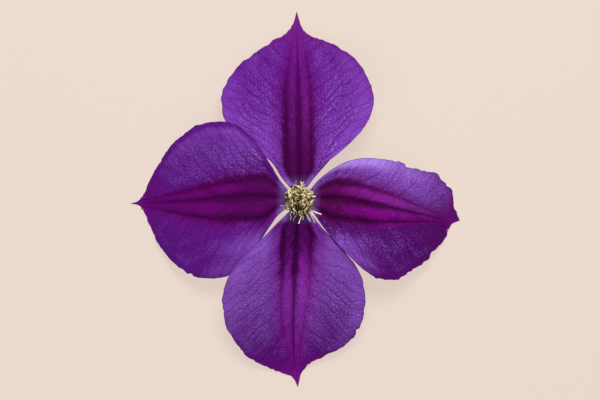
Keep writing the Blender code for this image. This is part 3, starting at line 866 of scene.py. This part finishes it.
def ribbonTree():  # a flat ribbon from the root ring to each of the given points
    tree, given, end = newGeometryTree("ribbonTuft", Vector=["Axis"], Int=["Points", "Seed"], Float=[
        "Root Near", "Root Far", "Root Height", "Bulge", "Swirl", "Curl Size", "Curl Turns", "Wander",
        "Width", "Thickness"])
    tips, perRibbon, axis = given["Geometry"], given["Points"], given["Axis"]
    ribbonCount = addNode("GeometryNodeAttributeDomainSize", {0: tips}).outputs["Point Count"]
    index = geoNode("InputIndex", tree=tree)
    ribbon = maths("FLOOR", maths("DIVIDE", total(index, 0.5), perRibbon))
    step = less(index, product(ribbon, perRibbon))
    share = maths("DIVIDE", step, less(perRibbon, 1))

    def draw(low, high, extra):  # one random value for each ribbon
        values = {2: low, 3: high, "ID": ribbon, "Seed": total(given["Seed"], float(extra))}
        return addNode("FunctionNodeRandomValue", values, data_type="FLOAT").outputs[1]

    def atTip(value):
        values = {"Geometry": tips, "Value": value, "Index": ribbon}
        return geoNode("SampleIndex", values, data_type="FLOAT_VECTOR")

    tip = scaled(atTip(geoNode("InputPosition", tree=tree)), 1 / mm)
    tipX, tipY, tipZ = split(vectorMath("SUBTRACT", tip, axis))
    shade, loose, widthShare = split(atTip(storedOn(tree, "kind")))
    reach = maths("SQRT", total(product(tipX, tipX), product(tipY, tipY)))
    swirl = product(draw(-1, 1, 3), given["Swirl"], ramp(reach, 3.5, 7.5, 1, 0.25))
    turn = total(maths("ARCTAN2", tipY, tipX), swirl)
    bow = product(draw(0, given["Bulge"], 2), maths("SINE", product(share, math.pi)))
    start = total(draw(given["Root Near"], given["Root Far"], 1), bow)
    crossing = maths("POWER", share, 1.5)
    rise = maths("SINE", product(share, 0.75 * math.pi))
    height = maths("MULTIPLY_ADD", less(tipZ, given["Root Height"]), rise, given["Root Height"])

    # curls that grow towards the end
    growth = product(maths("POWER", share, 1.6), product(given["Curl Size"], loose))
    phase = maths("MULTIPLY_ADD", product(share, given["Curl Turns"]), 2 * math.pi, draw(0, 6.28, 5))
    height = maths("MULTIPLY_ADD", growth, maths("SINE", phase), height)
    places = []
    for wave, tipPlace in (("COSINE", tipX), ("SINE", tipY)):
        first = product(start, maths(wave, turn))
        place = maths("MULTIPLY_ADD", less(tipPlace, first), crossing, first)
        places.append(maths("MULTIPLY_ADD", growth, maths(wave, product(phase, 0.8)), place))
    route = join(*places, height)
    seedShift = join(product(ribbon, 0.37), 0, 0)
    wander = driftOn(vectorMath("ADD", route, seedShift), 0.45)
    wander = scaled(wander, product(given["Wander"], total(loose, loose), share))
    route = vectorMath("ADD", vectorMath("ADD", route, wander), axis)

    cloud = geoNode("Points", {"Count": product(ribbonCount, perRibbon), "Position": scaled(route, mm)})
    twist = maths("MULTIPLY_ADD", share, draw(-1.2, 1.2, 7), draw(-0.6, 0.6, 8))
    kept = {"share": share, "shade": shade, "width": widthShare, "twist": twist}
    curves = ribbonCurves(cloud, ribbon, kept)
    ring = geoNode("CurvePrimitiveCircle", {"Resolution": 6, "Radius": 0.5}, tree)
    flat = join(product(given["Width"], mm), product(given["Thickness"], mm), 1)
    ring = geoNode("Transform", {"Geometry": ring, "Scale": flat})
    ribbons = geoNode("CurveToMesh", {"Curve": curves, "Profile Curve": ring, "Fill Caps": True})
    ribbons = geoNode("SetShadeSmooth", {0: ribbons})
    return endTree(end, ribbons, given["Material"])


def ribbonMaterial(name, root, body, light, pale):  # darker at the root, partly the ribbon's own colour and partly painted shade deep in the tuft; straw along the ribbon, pale strays
    material, tree, shader = newMaterial(name, {"Specular IOR Level": 0.3})
    share, shade = attributeOf(tree, "share", "Fac"), attributeOf(tree, "shade", "Fac")
    grain = noiseOn(objectPlace(tree), 900, 3)
    # shade holds each ribbon's random tone, with painted light on the lit side and painted shade in the
    # hollows
    tone = total(centred(grain, 0.5), shade, clamp=True)
    colour = mixed(tone, body, light)
    colour = mixed(fading(share, 0.25, 0.75, 0.95), colour, root)
    colour = mixed(ramp(shade, 1.2, 1.4, 0, 0.8), colour, pale)
    dressShader(shader, colour, ramp(grain, 0.3, 0.7, 0.6, 0.45), grain, 0.08)
    return material


def makeTuft(slot, tuft, tree, shift):
    name = slot + "_ribbons"
    points, kinds = tipPoints(tuft, shift)
    piece = newPiece(name, meshFrom(name, points))
    storeVectors(piece.data, "kind", kinds)
    material = ribbonMaterial(slot + "Straw", *tuft["colours"])
    addTree(piece, tree, {**tuft, "axis": (*shift, 0), "material": material})
    bakeModifiers(piece)
    finishPiece(piece, slot, slot + "s")


ribbons = ribbonTree()
makeTuft("stamen", stamens, ribbons, shift)
makeTuft("style", styles, ribbons, shift)
print("stamens and styles made")


# The receptacle and the stalk under it are one skin.
stalk = {
    "profile": [
        (0.0, 2.0), (0.8, 2.05), (1.4, 1.9), (1.9, 1.4), (2.1, 0.6), (2.6, 0.25), (3.1, 0.0), (3.1, -1.3),
        (3.9, -1.5), (4.4, -1.7), (4.5, -2.1), (4.1, -2.8), (3.5, -3.5), (2.8, -4.2), (2.15, -5.0),
        (1.65, -6.0), (1.32, -7.0), (1.18, -7.8),
    ],  # radius and height above the claws
    "neckStart": 8.0,
    "radius": 1.1,
    "reach": 46.0,
    "sway": 2.5,
    "ridges": 6,
    "ridgeDepth": 0.07,
    "shoulders": 0.02,  # how far the receptacle swells under each tepal
    "unevenness": 0.03,
    "unevenSpacing": 7.0,
    "seed": 4,
    "sides": 48,
    "rings": 150,
    "weldDistance": 0.002,
    # rings of the cut end: share of the radius, depth, and 1 for flesh or 2 for pith
    "cutEnd": [(0.93, 0.05, 1.0), (0.62, 0.0, 1.0), (0.5, 0.12, 2.0), (0.25, 0.18, 2.0)],
    "greens": (tint(96, 112, 52), tint(142, 152, 84)),
    "blush": tint(94, 56, 66),
    "paleGreen": tint(160, 158, 118),
    "flesh": tint(158, 168, 108),
    "pith": tint(214, 212, 178),
}


def bezierRun(first, second, third, fourth, steps):
    t = np.linspace(0, 1, steps)[:, None]
    return (1 - t) ** 3 * first + 3 * t * (1 - t) ** 2 * second + 3 * t**2 * (1 - t) * third + t**3 * fourth


def stalkLine():  # the same route as the frame's stalk, from the neck to the cut end
    start = blade["clawHeight"] - stalk["neckStart"]
    turn = start - stalk["radius"]
    low, reach, sway = stalk["radius"], stalk["reach"], stalk["sway"]
    knots = np.array([  # each place, and how the line goes on from it
        [(0, 0, start), (0, 0, -0.55 * turn)],
        [(0, -turn, low), (0, -0.55 * turn, 0)],
        [(sway, -0.5 * (turn + reach), low), (0, -0.3 * reach, 0)],
        [(0, -reach, low), (-0.1 * sway, -0.1 * reach, 0)],
    ])
    runs = [bezierRun(a, a + 0.6 * la, b - 0.6 * lb, b, 60) for (a, la), (b, lb) in zip(knots, knots[1:])]
    return evenLine(np.concatenate([runs[0]] + [run[1:] for run in runs[1:]]), stalk["rings"])


def receptacleRings(sides):
    rings = []
    for radius, height in stalk["profile"]:
        radii = radius * (1 + stalk["shoulders"] * np.cos(4 * sides) * (radius > 2.5))
        level = np.full_like(sides, blade["clawHeight"] + height)
        rings.append(np.column_stack([radii * np.cos(sides), radii * np.sin(sides), level]))
    return rings


def stemRings(sides, line, ahead):
    bows = wobble(np.linspace(0, 60, len(line)), stalk["unevenSpacing"], stalk["seed"])
    ridges = 1 - stalk["ridgeDepth"] * (0.5 + 0.5 * np.cos(stalk["ridges"] * sides))
    rings = []
    for place, way, bow in zip(line, ahead, bows):
        across = np.array([1, 0, 0]) - way * way[0]
        across /= np.linalg.norm(across)
        radii = (stalk["radius"] * (1 + stalk["unevenness"] * bow) * ridges)[:, None]
        upward = np.cross(way, across)
        rings.append(place + radii * (np.cos(sides)[:, None] * across - np.sin(sides)[:, None] * upward))
    return rings


def makeStalk(shift):
    count = stalk["sides"]
    sides = np.linspace(0, 2 * np.pi, count, endpoint=False)
    line = stalkLine()
    ahead = headings(line)
    rings = receptacleRings(sides) + stemRings(sides, line, ahead)
    marks = [(height, 0, 0) for _, height in stalk["profile"]] + [(0, 0, 0)] * len(line)
    cut = rings[-1]
    centre = cut.mean(axis=0)
    for size, depth, tissue in stalk["cutEnd"]:
        rings.append(centre + (cut - centre) * size - ahead[-1] * depth)
        marks.append((0, tissue, 0))
    points = np.concatenate(rings + [[centre - ahead[-1] * depth]]) + (*shift, 0)
    last = (len(rings) - 1) * count
    pith = [(last + j, len(points) - 1, last + (j + 1) % count) for j in range(count)]
    mesh = meshFrom("stalk", points, gridFaces(len(rings), count, closed=True) + pith)
    storeVectors(mesh, "marks", np.concatenate([np.repeat(marks, count, axis=0), marks[-1:]]))
    piece = newPiece("stalk_skin", mesh)
    addWeld(piece, stalk["weldDistance"])
    bakeModifiers(piece).shade_smooth()
    return piece


def stalkMaterial():
    material, tree, shader = newMaterial("stalkSkin", {
        "Sheen Weight": 0.3, "Specular IOR Level": 0.35, "Subsurface Weight": 0.1, "Subsurface Scale": 0.001,
        "Subsurface Radius": (1, 1, 0.4),
    })
    height, cut = split(attributeOf(tree, "marks"))[:2]
    place = objectPlace(tree)
    blotch = noiseOn(place, 260, 3)
    fibre = stretchedNoise(place, (2600, 300, 2600), 2)
    colour = mixed(fibre, *stalk["greens"])
    for share, laid in (
        (ramp(blotch, 0.42, 0.66, 0, 0.8), "blush"),
        (ramp(height, -5, 0, 0, 0.6), "paleGreen"),
        (ramp(cut, 0.5, 1), "flesh"),
        (ramp(cut, 1.2, 1.8), "pith"),
    ):
        colour = mixed(share, colour, stalk[laid])
    dressShader(shader, colour, ramp(blotch, 0.3, 0.7, 0.62, 0.5), fibre, 0.12)
    return material


# Short soft hairs that stand off the stalk and the receptacle.
down = {
    "density": 2.2,  # hairs on each square millimetre
    "length": 0.75,
    "width": 0.05,
    "lean": 0.7,
    "lowest": 1.4,  # none nearer the floor
    "seed": 8,
    "colours": (tint(176, 168, 142), tint(224, 218, 200)),
}


def downTree():
    tree, given, end = newGeometryTree(
        "softDown", Int=["Seed"], Float=["Density", "Length", "Width", "Lean", "Lowest"])
    seed, lean = given["Seed"], given["Lean"]
    height = split(geoNode("InputPosition", tree=tree))[2]
    offFloor = maths("GREATER_THAN", height, product(given["Lowest"], mm))
    spread = addNode("GeometryNodeDistributePointsOnFaces", {
        "Mesh": given["Geometry"], "Selection": offFloor, "Density": product(given["Density"], 1e6),
        "Seed": seed,
    }).outputs
    hair = geoNode("MeshCone", {
        "Vertices": 3, "Radius Top": 0, "Radius Bottom": product(given["Width"], 0.5 * mm),
        "Depth": product(given["Length"], mm),
    })
    back = product(lean, -1)
    limits = {0: join(back, back, 0), 1: join(lean, lean, 6.28), "Seed": seed}
    tilt = resultOf("FunctionNodeRandomValue", limits, data_type="FLOAT_VECTOR")
    turned = resultOf("FunctionNodeRotateRotation", {0: spread["Rotation"], 1: tilt}, rotation_space="LOCAL")
    size = addNode("FunctionNodeRandomValue", {2: 0.5, 3: 1.2, "Seed": seed}, data_type="FLOAT").outputs[1]
    placed = geoNode("InstanceOnPoints", {
        "Points": spread["Points"], "Instance": hair, "Rotation": turned,
        "Scale": join(1, 1, size),
    })
    return endTree(end, placed, given["Material"])


def downMaterial():
    material, tree, shader = newMaterial("softDown", {"Roughness": 0.6, "Specular IOR Level": 0.3})
    grain = noiseOn(objectPlace(tree), 400)
    feed(shader, {"Base Color": mixed(grain, *down["colours"])})
    return material


stalkPiece = makeStalk(shift)
stalkPiece.data.materials.append(stalkMaterial())
downPiece = newPiece("stalk_down", stalkPiece.data.copy())
downPiece.data.materials.clear()
addTree(downPiece, downTree(), {**down, "material": downMaterial()})
bakeModifiers(downPiece)
finishPiece(stalkPiece, "stalk", "stalk")
finishPiece(downPiece, "stalk")
print("stalk made")


# Floor, light and camera.
stage = {
    "floorSize": 12000.0,
    "floorDrop": 0.05,  # under the tips
    "floorColour": tint(90, 85, 80),
    "floorGrain": 0.94,  # the darker grains' share of the colour
    "floorGlow": tint(218, 200, 190),
    "floorGlowStrength": 0.96,
    "viewWidth": 208.6,  # seen across the picture, at the height of the blades
    "viewHeight": 8.0,
    "distance": 2000.0,
    "lookPast": 0.35,  # the picture's middle lies this far right of the flower's axis
    "aimHeight": 10.0,
    "lights": [  # name, place, size, watts, colour
        ("skyLight", (60, 330, 640), 300, 6.0, (1.0, 0.985, 0.96)),
        ("frontFill", (-260, -330, 640), 600, 2.4, (0.96, 0.97, 1.0)),
    ],
    "worldColour": tint(214, 212, 214),
    "worldStrength": 0.4,
}


def makeFloor():
    half = stage["floorSize"] / 2
    low = -stage["floorDrop"]
    corners = [(-half, -half, low), (half, -half, low), (half, half, low), (-half, half, low)]
    floor = newPiece("floor", meshFrom("floor", corners, [(0, 1, 2, 3)]))
    material, tree, shader = newMaterial("lightTable", {
        "Roughness": 0.8, "Specular IOR Level": 0.2, "Emission Color": stage["floorGlow"],
        "Emission Strength": stage["floorGlowStrength"],
    })
    grain = noiseOn(objectPlace(tree), 300, 4)
    dark = (*(part * stage["floorGrain"] for part in stage["floorColour"][:3]), 1)
    feed(shader, {"Base Color": mixed(grain, dark, stage["floorColour"])})
    floor.data.materials.append(material)


def makeLights(shift):
    aim = Vector((*shift, stage["aimHeight"]))
    for name, place, size, watts, colour in stage["lights"]:
        light = bpy.data.lights.new(name, "AREA")
        light.shape = "DISK"
        light.size = size * mm
        light.energy = watts
        light.color = colour
        lamp = newPiece(name, light)
        lamp.location = Vector(place) * mm
        lamp.rotation_euler = (aim - Vector(place)).to_track_quat("-Z", "Y").to_euler()
        lamp.visible_camera = False
    world = bpy.data.worlds.new("studio")
    world.use_nodes = True
    background = world.node_tree.nodes["Background"]
    feed(background, {"Color": stage["worldColour"], "Strength": stage["worldStrength"]})
    bpy.context.scene.world = world


def makeCamera(shift):
    lens = bpy.data.cameras.new("camera")
    lens.sensor_width = 36
    lens.lens = lens.sensor_width * stage["distance"] / stage["viewWidth"]
    lens.clip_end = 100
    camera = newPiece("camera", lens)
    height = stage["distance"] + stage["viewHeight"]
    camera.location = Vector((shift[0] + stage["lookPast"], shift[1], height)) * mm
    bpy.context.scene.camera = camera


makeFloor()
makeLights(shift)
makeCamera(shift)
bpy.context.scene.view_settings.view_transform = "Standard"
print("stage made")
